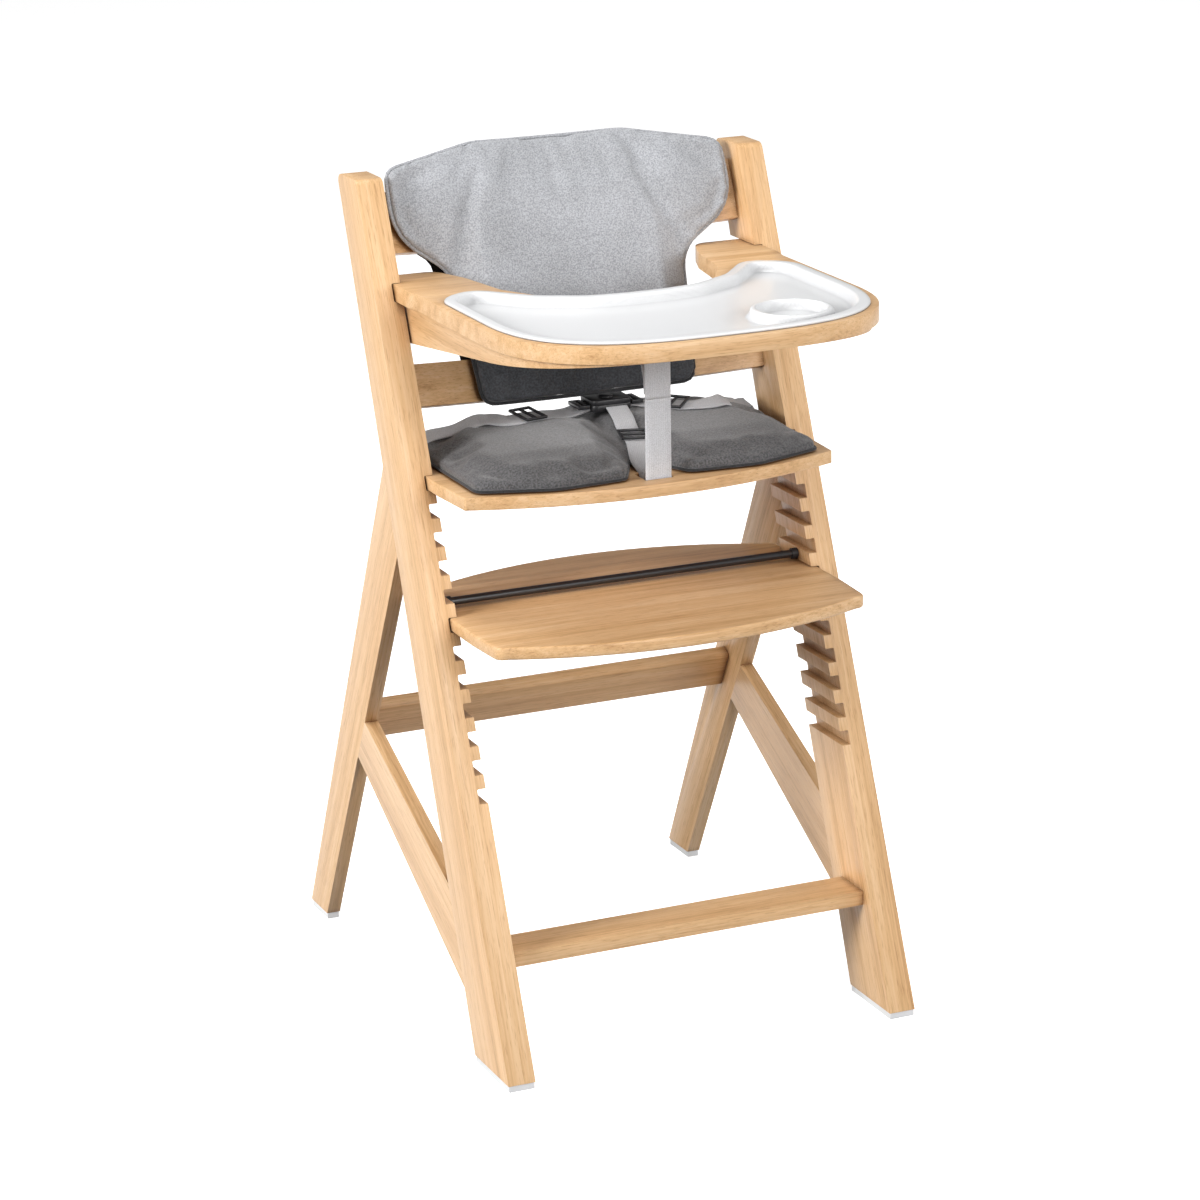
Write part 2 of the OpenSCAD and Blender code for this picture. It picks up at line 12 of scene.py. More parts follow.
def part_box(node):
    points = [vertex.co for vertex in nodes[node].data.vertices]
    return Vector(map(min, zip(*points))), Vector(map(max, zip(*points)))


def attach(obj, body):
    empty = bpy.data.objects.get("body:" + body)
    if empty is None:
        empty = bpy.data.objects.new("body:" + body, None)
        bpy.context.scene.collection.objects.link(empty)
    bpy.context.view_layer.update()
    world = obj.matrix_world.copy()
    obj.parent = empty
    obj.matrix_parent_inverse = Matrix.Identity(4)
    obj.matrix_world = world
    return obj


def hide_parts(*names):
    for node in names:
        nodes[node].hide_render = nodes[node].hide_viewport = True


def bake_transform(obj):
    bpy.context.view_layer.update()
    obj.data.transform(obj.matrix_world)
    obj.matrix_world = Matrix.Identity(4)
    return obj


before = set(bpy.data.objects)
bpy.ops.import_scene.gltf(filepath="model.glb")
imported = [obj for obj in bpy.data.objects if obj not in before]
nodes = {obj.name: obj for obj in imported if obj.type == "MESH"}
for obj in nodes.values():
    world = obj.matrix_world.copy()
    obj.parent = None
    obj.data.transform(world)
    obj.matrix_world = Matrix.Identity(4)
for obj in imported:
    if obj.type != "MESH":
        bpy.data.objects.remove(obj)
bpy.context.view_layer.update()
MM = 0.001

# ---------------------------------------------------------------- places taken from the frame

LEAN = math.radians(22.6)
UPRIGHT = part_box("left_upright")
GLIDE_TOP = UPRIGHT[0].z
FRONT_Y0 = UPRIGHT[0].y - GLIDE_TOP * math.tan(LEAN)   # where the uprights' front line meets the floor
SEAT_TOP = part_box("seat_board")[1].z
TRAY_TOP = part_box("tray_board")[1].z
TRAY_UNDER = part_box("tray_board")[0].z
PAD_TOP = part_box("seat_cushion")[1].z
SLAT_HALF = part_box("upper_back_slat")[1].x
SLAT_BOW = 25 * MM
SLAT_FACE = 29 * MM          # how far behind the uprights' front faces the slats' ends lie
SLAT_THICK = 14 * MM
SLAT_RADIUS = (SLAT_HALF ** 2 + SLAT_BOW ** 2) / (2 * SLAT_BOW)
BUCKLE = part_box("buckle_body")
BUCKLE_AT = (BUCKLE[0] + BUCKLE[1]) / 2


def from_lean(x, up, back):
    """A point given across the chair, up along the uprights' front faces and behind them."""
    return Vector((x, FRONT_Y0 + up * math.sin(LEAN) + back * math.cos(LEAN),
                   up * math.cos(LEAN) - back * math.sin(LEAN)))


def slat_depth(x):
    """How far behind the uprights' fronts the bent slats' front face lies at x."""
    r = SLAT_RADIUS
    return SLAT_FACE + SLAT_BOW - r + math.sqrt(max(0.0, r * r - x * x))


# ---------------------------------------------------------------- camera, light and floor

AIM = Vector((-0.038, -0.0665, 0.462))
DISTANCE = 4.2997
AZIMUTH = math.radians(23.55)
ELEVATION = math.radians(16.83)
ROLL = math.radians(-0.925)
LENS = 118.24
SENSOR = 36.0
LIT_POINT = Vector((0, 0, 0.5))


def make_camera():
    forward = Vector((math.sin(AZIMUTH) * math.cos(ELEVATION), math.cos(AZIMUTH) * math.cos(ELEVATION),
                      -math.sin(ELEVATION)))
    level = Vector((forward.y, -forward.x, 0)).normalized()
    upward = level.cross(forward)
    right = math.cos(ROLL) * level + math.sin(ROLL) * upward
    top = right.cross(forward)
    data = bpy.data.cameras.new("camera")
    data.lens = LENS
    data.sensor_width = SENSOR
    camera = bpy.data.objects.new("camera", data)
    turn = Matrix((right, top, -forward)).transposed().to_4x4()
    camera.matrix_world = Matrix.Translation(AIM - DISTANCE * forward) @ turn
    bpy.context.scene.collection.objects.link(camera)
    bpy.context.scene.camera = camera


def area_light(name, place, size, power):
    """A round light that faces the middle of the chair."""
    data = bpy.data.lights.new(name, "AREA")
    data.shape = "DISK"
    data.size = size
    data.energy = power
    light = bpy.data.objects.new(name, data)
    light.location = place
    light.rotation_euler = (LIT_POINT - Vector(place)).to_track_quat("-Z", "Y").to_euler()
    bpy.context.scene.collection.objects.link(light)


def studio_world():
    """Soft white light all round from above, and a dark surround below the horizon."""
    world = bpy.data.worlds.new("studio")
    world.use_nodes = True
    tree = world.node_tree
    direction = add(tree, "ShaderNodeTexCoord").outputs["Generated"]
    split = add(tree, "ShaderNodeSeparateXYZ")
    tree.links.new(direction, split.inputs[0])
    height = calculate(tree, "ADD", calculate(tree, "MULTIPLY", split.outputs["Z"], 0.5), 0.5)
    sky = ramp(tree, height, [(0.44, (0.07, 0.065, 0.06)), (0.56, (0.5, 0.5, 0.51)),
                              (0.85, (0.66, 0.66, 0.66))])
    tree.links.new(sky, tree.nodes["Background"].inputs["Color"])
    tree.nodes["Background"].inputs["Strength"].default_value = 0.54
    bpy.context.scene.world = world


def glowing_paint(name, grey, glow):
    """Matt paint that also shines a little, so that it stays white in the picture."""
    paint, _, shader = new_material(name, (grey, grey, grey), 0.8)
    shader.inputs["Emission Color"].default_value = (1, 1, 1, 1)
    shader.inputs["Emission Strength"].default_value = glow
    return paint


def make_stage():
    studio_world()
    area_light("key", (-4.6, -0.9, 2.2), 1.8, 235)
    area_light("fill", (0.3, -3.4, 1.5), 1.6, 68)
    area_light("right", (4.3, -1.9, 2.0), 1.6, 72)
    area_light("rear", (-2.6, 3.2, 4.0), 1.6, 60)
    area_light("top", (-0.4, -0.2, 3.9), 1.2, 36)
    bpy.ops.mesh.primitive_plane_add(size=60)
    floor = bpy.context.object
    floor.name = "floor"
    floor.visible_diffuse = False
    floor.data.materials.append(glowing_paint("floor_paint", 0.93, 0.62))
    bpy.ops.mesh.primitive_cylinder_add(vertices=96, radius=28, depth=40, end_fill_type="NOTHING")
    backdrop = bpy.context.object
    backdrop.name = "backdrop"
    backdrop.visible_diffuse = backdrop.visible_glossy = backdrop.visible_shadow = False
    backdrop.data.materials.append(glowing_paint("backdrop_paint", 0.9, 0.9))
    view = bpy.context.scene.view_settings
    view.view_transform = "Standard"
    view.look = "None"


# ---------------------------------------------------------------- materials

def new_material(name, colour, rough):
    """Returns a material, its node tree and its shader node."""
    material = bpy.data.materials.new(name)
    material.use_nodes = True
    tree = material.node_tree
    shader = tree.nodes["Principled BSDF"]
    shader.inputs["Base Color"].default_value = (*colour, 1)
    shader.inputs["Roughness"].default_value = rough
    return material, tree, shader


def add(tree, kind, **values):
    node = tree.nodes.new(kind)
    for key, value in values.items():
        if isinstance(value, (int, float, str, bool, tuple)) and hasattr(node, key):
            setattr(node, key, value)
        else:
            node.inputs[key].default_value = value
    return node


def object_coordinates(tree, turn=(0, 0, 0), stretch=(1, 1, 1)):
    """Object coordinates, turned and then stretched."""
    source = add(tree, "ShaderNodeTexCoord")
    turned = add(tree, "ShaderNodeMapping")
    turned.inputs["Rotation"].default_value = turn
    tree.links.new(source.outputs["Object"], turned.inputs["Vector"])
    scaled = add(tree, "ShaderNodeMapping")
    scaled.inputs["Scale"].default_value = stretch
    tree.links.new(turned.outputs["Vector"], scaled.inputs["Vector"])
    return scaled.outputs["Vector"]


def noise_at(tree, vector, scale, detail):
    node = add(tree, "ShaderNodeTexNoise")
    node.inputs["Scale"].default_value = scale
    node.inputs["Detail"].default_value = detail
    node.inputs["Roughness"].default_value = 0.55
    tree.links.new(vector, node.inputs["Vector"])
    return node.outputs["Fac"]


def ramp(tree, value, stops):
    node = add(tree, "ShaderNodeValToRGB")
    elements = node.color_ramp.elements
    while len(elements) < len(stops):
        elements.new(0.5)
    for element, (place, colour) in zip(elements, stops):
        element.position = place
        element.color = (*colour, 1)
    tree.links.new(value, node.inputs["Fac"])
    return node.outputs["Color"]


def blend_colours(tree, a, b, amount, mode="MIX"):
    node = tree.nodes.new("ShaderNodeMix")
    node.data_type = "RGBA"
    node.blend_type = mode
    for socket, value in ((node.inputs[0], amount), (node.inputs[6], a), (node.inputs[7], b)):
        if isinstance(value, bpy.types.NodeSocket):
            tree.links.new(value, socket)
        elif isinstance(value, tuple):
            socket.default_value = (*value, 1)
        else:
            socket.default_value = value
    return node.outputs[2]


def calculate(tree, kind, a, b):
    node = add(tree, "ShaderNodeMath", operation=kind)
    for socket, value in zip(node.inputs, (a, b)):
        if isinstance(value, bpy.types.NodeSocket):
            tree.links.new(value, socket)
        else:
            socket.default_value = value
    return node.outputs[0]


def bump(tree, shader, height, strength, distance):
    node = add(tree, "ShaderNodeBump")
    node.inputs["Strength"].default_value = strength
    node.inputs["Distance"].default_value = distance
    tree.links.new(height, node.inputs["Height"])
    tree.links.new(node.outputs["Normal"], shader.inputs["Normal"])


OAK_PALE = (0.76, 0.51, 0.285)
OAK_MID = (0.68, 0.42, 0.205)
OAK_DARK = (0.51, 0.285, 0.12)


def oak(name, turn, shift):
    """Lacquered oak whose grain runs along X once the coordinates are turned, with painted shade in its
    grooves and corners.
    """
    material, tree, shader = new_material(name, OAK_MID, 0.42)
    shader.inputs["Coat Weight"].default_value = 0.2
    shader.inputs["Coat Roughness"].default_value = 0.35
    shader.inputs["Specular IOR Level"].default_value = 0.35
    long_grain = object_coordinates(tree, turn, (1.5, 62, 62))
    fine_grain = object_coordinates(tree, turn, (10, 460, 460))
    flecks = object_coordinates(tree, turn, (45, 1000, 1000))
    for vector in (long_grain, fine_grain, flecks):
        vector.node.inputs["Location"].default_value = (shift, shift * 0.7, shift * 1.3)
    bands = noise_at(tree, long_grain, 1.0, 4.0)
    streaks = noise_at(tree, fine_grain, 1.0, 3.0)
    pores = noise_at(tree, flecks, 1.0, 2.0)
    mixed = calculate(tree, "ADD", calculate(tree, "MULTIPLY", bands, 0.6),
                      calculate(tree, "MULTIPLY", streaks, 0.4))
    colour = ramp(tree, mixed, [(0.33, OAK_DARK), (0.48, OAK_MID), (0.62, OAK_PALE)])
    pore_mask = ramp(tree, pores, [(0.34, (0.62, 0.5, 0.38)), (0.43, (1, 1, 1))])
    colour = blend_colours(tree, colour, pore_mask, 0.55, "MULTIPLY")
    # Painted shade: ambient occlusion darkens the colour in grooves, corners and joints, where shade falls.
    creases = add(tree, "ShaderNodeAmbientOcclusion")
    creases.samples = 6
    creases.inputs["Distance"].default_value = 0.016
    shade = ramp(tree, creases.outputs["AO"], [(0.35, (0.20, 0.10, 0.05)), (0.75, (1, 1, 1))])
    colour = blend_colours(tree, colour, shade, 0.85, "MULTIPLY")
    tree.links.new(colour, shader.inputs["Base Color"])
    tree.links.new(calculate(tree, "ADD", calculate(tree, "MULTIPLY", streaks, 0.2), 0.34),
                   shader.inputs["Roughness"])
    bump(tree, shader, calculate(tree, "ADD", streaks, calculate(tree, "MULTIPLY", pores, 0.6)), 0.12, 0.0006)
    return material


def woven(name, colour, speck, plane, yarns=480.0, rough=0.9):
    """A fine plain weave with mixed yarns, seen flat in the given pair of axes."""
    material, tree, shader = new_material(name, colour, rough)
    spot = object_coordinates(tree)
    yarn = noise_at(tree, spot, yarns, 2.0)
    cloudy = noise_at(tree, spot, 9.0, 3.0)
    dark = tuple(c * (1 - speck) for c in colour)
    light = tuple(min(1.0, c * (1 + speck)) for c in colour)
    mottled = ramp(tree, yarn, [(0.36, dark), (0.5, colour), (0.64, light)])
    soft = ramp(tree, cloudy, [(0.35, (0.88, 0.88, 0.88)), (0.65, (1.06, 1.06, 1.07))])
    tree.links.new(blend_colours(tree, mottled, soft, 1.0, "MULTIPLY"), shader.inputs["Base Color"])
    threads = []
    for axis in plane:
        wave = add(tree, "ShaderNodeTexWave", wave_type="BANDS", bands_direction=axis)
        wave.inputs["Scale"].default_value = 240.0
        wave.inputs["Distortion"].default_value = 0.6
        wave.inputs["Detail Scale"].default_value = 30.0
        tree.links.new(spot, wave.inputs["Vector"])
        threads.append(wave.outputs["Fac"])
    weave = calculate(tree, "MAXIMUM", *threads)
    bump(tree, shader, calculate(tree, "ADD", weave, yarn), 0.25, 0.0004)
    shader.inputs["Sheen Weight"].default_value = 0.25
    shader.inputs["Sheen Roughness"].default_value = 0.5
    return material


def ribbed(name, colour):
    """Polyester webbing: ribs along the strap and fine picks across it, from its own run coordinates."""
    material, tree, shader = new_material(name, colour, 0.8)
    run = add(tree, "ShaderNodeAttribute", attribute_name="run").outputs["Vector"]
    ribs = []
    for axis, scale in (("X", 150.0), ("Y", 260.0)):
        wave = add(tree, "ShaderNodeTexWave", wave_type="BANDS", bands_direction=axis)
        wave.inputs["Scale"].default_value = scale
        tree.links.new(run, wave.inputs["Vector"])
        ribs.append(wave.outputs["Fac"])
    spot = object_coordinates(tree)
    fluff = noise_at(tree, spot, 1100.0, 1.0)
    dark = tuple(c * 0.80 for c in colour)
    light = tuple(min(1.0, c * 1.10) for c in colour)
    mottled = ramp(tree, fluff, [(0.34, dark), (0.62, light)])
    lines = ramp(tree, ribs[0], [(0.0, (0.86, 0.86, 0.86)), (0.6, (1, 1, 1))])
    tree.links.new(blend_colours(tree, mottled, lines, 0.8, "MULTIPLY"), shader.inputs["Base Color"])
    height = calculate(tree, "ADD", ribs[0], calculate(tree, "MULTIPLY", ribs[1], 0.5))
    bump(tree, shader, height, 0.35, 0.0004)
    shader.inputs["Sheen Weight"].default_value = 0.2
    return material


def moulded(name, colour, rough, grain=0.08, coat=0.0):
    """Moulded plastic or painted metal with a faint texture and uneven gloss."""
    material, tree, shader = new_material(name, colour, rough)
    spot = object_coordinates(tree)
    fine = noise_at(tree, spot, 1400.0, 2.0)
    broad = noise_at(tree, spot, 9.0, 2.0)
    dark = tuple(c * 0.965 for c in colour)
    tree.links.new(ramp(tree, broad, [(0.2, dark), (0.8, colour)]), shader.inputs["Base Color"])
    tree.links.new(calculate(tree, "ADD", calculate(tree, "MULTIPLY", broad, 0.12), rough - 0.05),
                   shader.inputs["Roughness"])
    bump(tree, shader, fine, grain, 0.0003)
    shader.inputs["Coat Weight"].default_value = coat
    return material


def shade_creases(material, reach, dark, amount):
    """Paints shade into a material's colour where its surface is closed in, as in a corner or a recess."""
    tree = material.node_tree
    shader = tree.nodes["Principled BSDF"]
    creases = add(tree, "ShaderNodeAmbientOcclusion")
    creases.samples = 6
    creases.inputs["Distance"].default_value = reach
    shade = ramp(tree, creases.outputs["AO"], [(0.40, dark), (0.98, (1, 1, 1))])
    colour = shader.inputs["Base Color"].links[0].from_socket
    tree.links.new(blend_colours(tree, colour, shade, amount, "MULTIPLY"), shader.inputs["Base Color"])


def plated(name):
    """Zinc-plated steel for screws and the spring."""
    material, tree, shader = new_material(name, (0.62, 0.62, 0.64), 0.3)
    shader.inputs["Metallic"].default_value = 1.0
    fine = noise_at(tree, object_coordinates(tree), 900.0, 2.0)
    roughness = calculate(tree, "ADD", calculate(tree, "MULTIPLY", fine, 0.2), 0.2)
    tree.links.new(roughness, shader.inputs["Roughness"])
    bump(tree, shader, fine, 0.1, 0.0002)
    return material


def dress(names, material):
    for name in names:
        mesh = nodes[name].data
        mesh.materials.clear()
        mesh.materials.append(material)
        for polygon in mesh.polygons:
            polygon.material_index = 0


# ---------------------------------------------------------------- mesh helpers

def soften(name, width, segments=2):
    """Eases the sharp edges of a CAD node, with modifiers only."""
    obj = nodes[name]
    weld = obj.modifiers.new("weld", "WELD")
    weld.merge_threshold = 0.00001
    flat = obj.modifiers.new("flat", "DECIMATE")
    flat.decimate_type = "DISSOLVE"
    flat.angle_limit = math.radians(1.0)
    ease = obj.modifiers.new("ease", "BEVEL")
    ease.width = width
    ease.segments = segments
    ease.limit_method = "ANGLE"
    ease.angle_limit = math.radians(40)
    ease.harden_normals = True
    ease.use_clamp_overlap = True
    for polygon in obj.data.polygons:
        polygon.use_smooth = True


def new_piece(name, verts, faces, material, smooth=True):
    mesh = bpy.data.meshes.new(name)
    mesh.from_pydata([tuple(v) for v in verts], [], faces)
    mesh.validate()
    obj = bpy.data.objects.new(name, mesh)
    bpy.context.scene.collection.objects.link(obj)
    mesh.materials.append(material)
    bm = bmesh.new()
    bm.from_mesh(mesh)
    bmesh.ops.recalc_face_normals(bm, faces=bm.faces)
    bm.to_mesh(mesh)
    bm.free()
    for polygon in mesh.polygons:
        polygon.use_smooth = smooth
    return obj


def apply_modifiers(obj):
    mesh = bpy.data.meshes.new_from_object(obj.evaluated_get(bpy.context.evaluated_depsgraph_get()))
    obj.modifiers.clear()
    old = obj.data
    obj.data = mesh
    bpy.data.meshes.remove(old)


def spline(points, count):
    """Points evenly spaced along a smooth curve through the given ones."""
    pts = [Vector(p) for p in points]
    pts = [2 * pts[0] - pts[1]] + pts + [2 * pts[-1] - pts[-2]]
    dense = []
    for i in range(1, len(pts) - 2):
        a, b, c, d = pts[i - 1:i + 3]
        for k in range(24):
            t = k / 24
            dense.append(0.5 * (2 * b + (c - a) * t + (2 * a - 5 * b + 4 * c - d) * t * t
                                + (3 * b - a - 3 * c + d) * t ** 3))
    dense.append(pts[-2])
    steps = [0.0]
    for a, b in zip(dense, dense[1:]):
        steps.append(steps[-1] + (b - a).length)
    out = []
    j = 0
    for i in range(count):
        target = steps[-1] * i / (count - 1)
        while j < len(steps) - 2 and steps[j + 1] < target:
            j += 1
        span = max(1e-9, steps[j + 1] - steps[j])
        out.append(dense[j].lerp(dense[j + 1], min(1.0, max(0.0, (target - steps[j]) / span))))
    return out, steps[-1]


def strap(name, points, width, material, facing, thick=1.5 * MM, spacing=3 * MM):
    """Flat webbing along a smooth line; facing(along) is the way its broad side looks where it runs along."""
    rough_length = sum((Vector(b) - Vector(a)).length for a, b in zip(points, points[1:]))
    count = max(8, int(rough_length / spacing))
    line, length = spline(points, count)
    profile = [(-0.5, -0.25), (-0.485, -0.5), (-0.25, -0.5), (0, -0.5), (0.25, -0.5), (0.485, -0.5),
               (0.5, -0.25), (0.5, 0.25), (0.485, 0.5), (0.25, 0.5), (0, 0.5), (-0.25, 0.5), (-0.485, 0.5),
               (-0.5, 0.25)]
    verts, runs = [], []
    for i, p in enumerate(line):
        along = (line[min(i + 1, count - 1)] - line[max(i - 1, 0)]).normalized()
        side = along.cross(Vector(facing(along))).normalized()
        normal = side.cross(along).normalized()
        for u, v in profile:
            verts.append(p + side * (u * width) + normal * (v * thick))
            runs.append((u * width, length * i / (count - 1), 0.0))
    n = len(profile)
    faces = [(i * n + k, i * n + (k + 1) % n, (i + 1) * n + (k + 1) % n, (i + 1) * n + k)
             for i in range(count - 1) for k in range(n)]
    faces += [tuple(range(n)), tuple(range((count - 1) * n, count * n))]
    obj = new_piece(name, verts, faces, material)
    for polygon in obj.data.polygons[-2:]:
        polygon.use_smooth = False
    run = obj.data.attributes.new("run", "FLOAT_VECTOR", "POINT")
    run.data.foreach_set("vector", np.array(runs, np.float32).ravel())
    return obj


def tube(name, points, radius, material, closed=True, sides=8):
    """A round cord along points."""
    n = len(points)
    verts = []
    for i, p in enumerate(points):
        a = points[(i - 1) % n] if closed else points[max(0, i - 1)]
        b = points[(i + 1) % n] if closed else points[min(n - 1, i + 1)]
        along = (b - a).normalized()
        side = along.cross(Vector((0.3, 0.2, 1))).normalized()
        up = side.cross(along)
        for k in range(sides):
            angle = 2 * math.pi * k / sides
            verts.append(p + radius * (math.cos(angle) * side + math.sin(angle) * up))
    last = n if closed else n - 1
    faces = [(i * sides + k, i * sides + (k + 1) % sides, (i + 1) % n * sides + (k + 1) % sides,
              (i + 1) % n * sides + k) for i in range(last) for k in range(sides)]
    if not closed:
        faces += [tuple(range(sides)), tuple(range((n - 1) * sides, n * sides))]
    return new_piece(name, verts, faces, material)


def rounded_outline(corners, step=6 * MM):
    """A closed outline through corners (x, y, radius), with round corners, as evenly spaced 2D points."""
    n = len(corners)
    dense = []
    for i in range(n):
        a, b, c = (Vector(corners[(i + k) % n][:2]) for k in (-1, 0, 1))
        r = corners[i][2]
        u, v = (a - b).normalized(), (c - b).normalized()
        half = math.acos(max(-1, min(1, u.dot(v)))) / 2
        reach = min(r / math.tan(half), 0.499 * (a - b).length, 0.499 * (c - b).length) if r else 0.0
        if reach <= 0:
            dense.append(b)
            continue
        start, end = b + u * reach, b + v * reach
        dense += [(1 - t) ** 2 * start + 2 * t * (1 - t) * b + t * t * end
                  for t in [k / 11 for k in range(12)]]
    loop = dense + [dense[0]]
    steps = np.concatenate([[0], np.cumsum([(q - p).length for p, q in zip(loop, loop[1:])])])
    count = int(steps[-1] / step)
    places = np.linspace(0, steps[-1], count, endpoint=False)
    xs = np.interp(places, steps, [p.x for p in loop])
    ys = np.interp(places, steps, [p.y for p in loop])
    return np.column_stack([xs, ys])


def edge_distance(points, outline):
    """Distance from each 2D point to a closed outline."""
    best = np.full(len(points), 1e9)
    for a, b in zip(outline, np.roll(outline, -1, axis=0)):
        d = b - a
        t = np.clip(((points - a) @ d) / (d @ d), 0, 1)
        best = np.minimum(best, np.linalg.norm(points - a - t[:, None] * d, axis=1))
    return best


def inside(points, outline):
    """Which 2D points lie within a closed outline."""
    crossings = np.zeros(len(points), int)
    for a, b in zip(outline, np.roll(outline, -1, axis=0)):
        spans = (a[1] > points[:, 1]) != (b[1] > points[:, 1])
        at = a[0] + (points[:, 1] - a[1]) * (b[0] - a[0]) / (b[1] - a[1] if b[1] != a[1] else 1.0)
        crossings += spans & (points[:, 0] < at)
    return crossings % 2 == 1


def inset_loop(outline, distance):
    """A closed outline, drawn anticlockwise, moved inwards."""
    along = np.roll(outline, -1, axis=0) - np.roll(outline, 1, axis=0)
    along /= np.linalg.norm(along, axis=1)[:, None]
    return outline + distance * np.column_stack([-along[:, 1], along[:, 0]])


def filled(outline, step, extra=()):
    """A closed outline filled with even triangles: 2D points, the outline's own first, and faces."""
    low, high = outline.min(axis=0), outline.max(axis=0)
    columns, rows = np.meshgrid(np.arange(low[0], high[0], step),
                                np.arange(low[1], high[1], step * 0.866))
    columns[1::2] += step / 2
    spots = np.column_stack([columns.ravel(), rows.ravel()])
    spots = spots[inside(spots, outline) & (edge_distance(spots, outline) > (1.3 if extra else 0.6) * step)]
    points = np.concatenate([outline, *extra, spots])
    count = len(outline)
    rim = [(i, (i + 1) % count) for i in range(count)]
    flat, _, faces, *_ = delaunay_2d_cdt([Vector(p) for p in points.tolist()], rim, [], 1, 1e-7)
    return np.array([tuple(p) for p in flat]), [tuple(f) for f in faces]


def slab(name, outline, low, high, place, material, rows=3, step=8 * MM):
    """A closed slab over a 2D outline between two heights, put in space by place(x, y, height)."""
    flat, caps = filled(outline, step)
    n, m = len(outline), len(flat)
    verts = [place(x, y, h) for h in (low, high) for x, y in flat.tolist()]
    faces = caps + [tuple(m + i for i in reversed(f)) for f in caps]
    ring = [0] * (rows + 1)
    ring[0], ring[rows] = 0, m
    for k in range(1, rows):
        ring[k] = len(verts)
        verts += [place(x, y, low + (high - low) * k / rows) for x, y in outline.tolist()]
    for a, b in zip(ring, ring[1:]):
        faces += [(a + i, a + (i + 1) % n, b + (i + 1) % n, b + i) for i in range(n)]
    return new_piece(name, verts, faces, material)


def puff(obj, voxel, cap, pressure, pinned, grow=0.0, steps=20):
    """Remeshes a slab and swells it as cloth; points with pinned(co) 1 stay, and none moves beyond cap."""
    remesh = obj.modifiers.new("remesh", "REMESH")
    remesh.mode = "VOXEL"
    remesh.voxel_size = voxel
    apply_modifiers(obj)
    rest = np.array([v.co for v in obj.data.vertices])
    group = obj.vertex_groups.new(name="held")
    for i, co in enumerate(rest):
        group.add([i], pinned(co), "REPLACE")
    cloth = obj.modifiers.new("cloth", "CLOTH")
    cloth.settings.quality = 5
    cloth.settings.mass = 0.15
    cloth.settings.tension_stiffness = 18
    cloth.settings.compression_stiffness = 12
    cloth.settings.bending_stiffness = 0.25
    cloth.settings.use_pressure = True
    cloth.settings.uniform_pressure_force = pressure
    cloth.settings.shrink_min = -grow
    cloth.settings.vertex_group_mass = "held"
    cloth.settings.pin_stiffness = 0.6
    cloth.settings.effector_weights.gravity = 0
    cloth.collision_settings.use_collision = False
    cloth.point_cache.frame_start = 1
    cloth.point_cache.frame_end = steps
    scene = bpy.context.scene
    for number in range(1, steps + 1):
        scene.frame_set(number)
    apply_modifiers(obj)
    scene.frame_set(1)
    moved = np.array([v.co for v in obj.data.vertices])
    offset = moved - rest
    size = np.linalg.norm(offset, axis=1)
    offset *= (np.minimum(size, cap) / np.maximum(size, 1e-9))[:, None]
    return rest + offset


def finish_pad(obj, coords):
    obj.data.vertices.foreach_set("co", np.asarray(coords, np.float32).ravel())
    obj.data.update()
    smooth = obj.modifiers.new("smooth", "SMOOTH")
    smooth.factor = 0.5
    smooth.iterations = 3
    finer = obj.modifiers.new("finer", "SUBSURF")
    finer.levels = 1
    finer.render_levels = 1
    apply_modifiers(obj)
    for polygon in obj.data.polygons:
        polygon.use_smooth = True


def surface_tree(mesh):
    return BVHTree.FromPolygons([v.co.copy() for v in mesh.vertices],
                                [tuple(p.vertices) for p in mesh.polygons])


def surface_below(obj):
    """Returns a function that gives the height of obj's upper surface at x, y."""
    tree = surface_tree(obj.data)

    def height(x, y, default):
        hit = tree.ray_cast(Vector((x, y, 2.0)), Vector((0, 0, -1)))[0]
        return max(default, hit.z) if hit else default
    return height


make_camera()
make_stage()

# ---------------------------------------------------------------- the wooden frame

def grain_along(direction):
    """Rotation that turns a grain direction in the YZ plane, or X itself, onto X."""
    d = Vector(direction).normalized()
    return d.rotation_difference(Vector((1, 0, 0))).to_euler()


UP_LEAN = (0, math.sin(LEAN), math.cos(LEAN))
LEG_DOWN = (0, 0.4728, -0.8812)
BRACE_BACK = (0, 0.90, 0.43)

wood = {
    "left_upright": oak("oak_left_upright", grain_along(UP_LEAN), 1.3),
    "right_upright": oak("oak_right_upright", grain_along(UP_LEAN), 7.9),
    "left_rear_leg": oak("oak_left_leg", grain_along(LEG_DOWN), 3.1),
    "right_rear_leg": oak("oak_right_leg", grain_along(LEG_DOWN), 5.7),
    "left_brace": oak("oak_left_brace", grain_along(BRACE_BACK), 2.2),
    "right_brace": oak("oak_right_brace", grain_along(BRACE_BACK), 9.4),
}
ACROSS = ["front_crossbar", "rear_crossbar", "upper_back_slat", "lower_back_slat", "seat_board",
          "footrest_board", "tray_board"]
for i, name in enumerate(ACROSS):
    wood[name] = oak("oak_" + name, (0, 0, 0), 11.0 + 2.7 * i)
for name in ("tray_left_rail", "tray_right_rail"):
    wood[name] = oak("oak_" + name, grain_along((0, 1, 0)), 4.4)
# Radius of the rounded edges, in mm
EASED = {"tray_board": 5.0, "seat_board": 2.5, "footrest_board": 2.5, "left_upright": 1.6,
         "right_upright": 1.6, "rear_crossbar": 1.2, "front_crossbar": 2.5, "tray_left_rail": 1.2,
         "tray_right_rail": 1.2}
EASED_ELSE = 1.8
for name, material in wood.items():
    dress([name], material)
    soften(name, EASED.get(name, EASED_ELSE) * MM, 3)

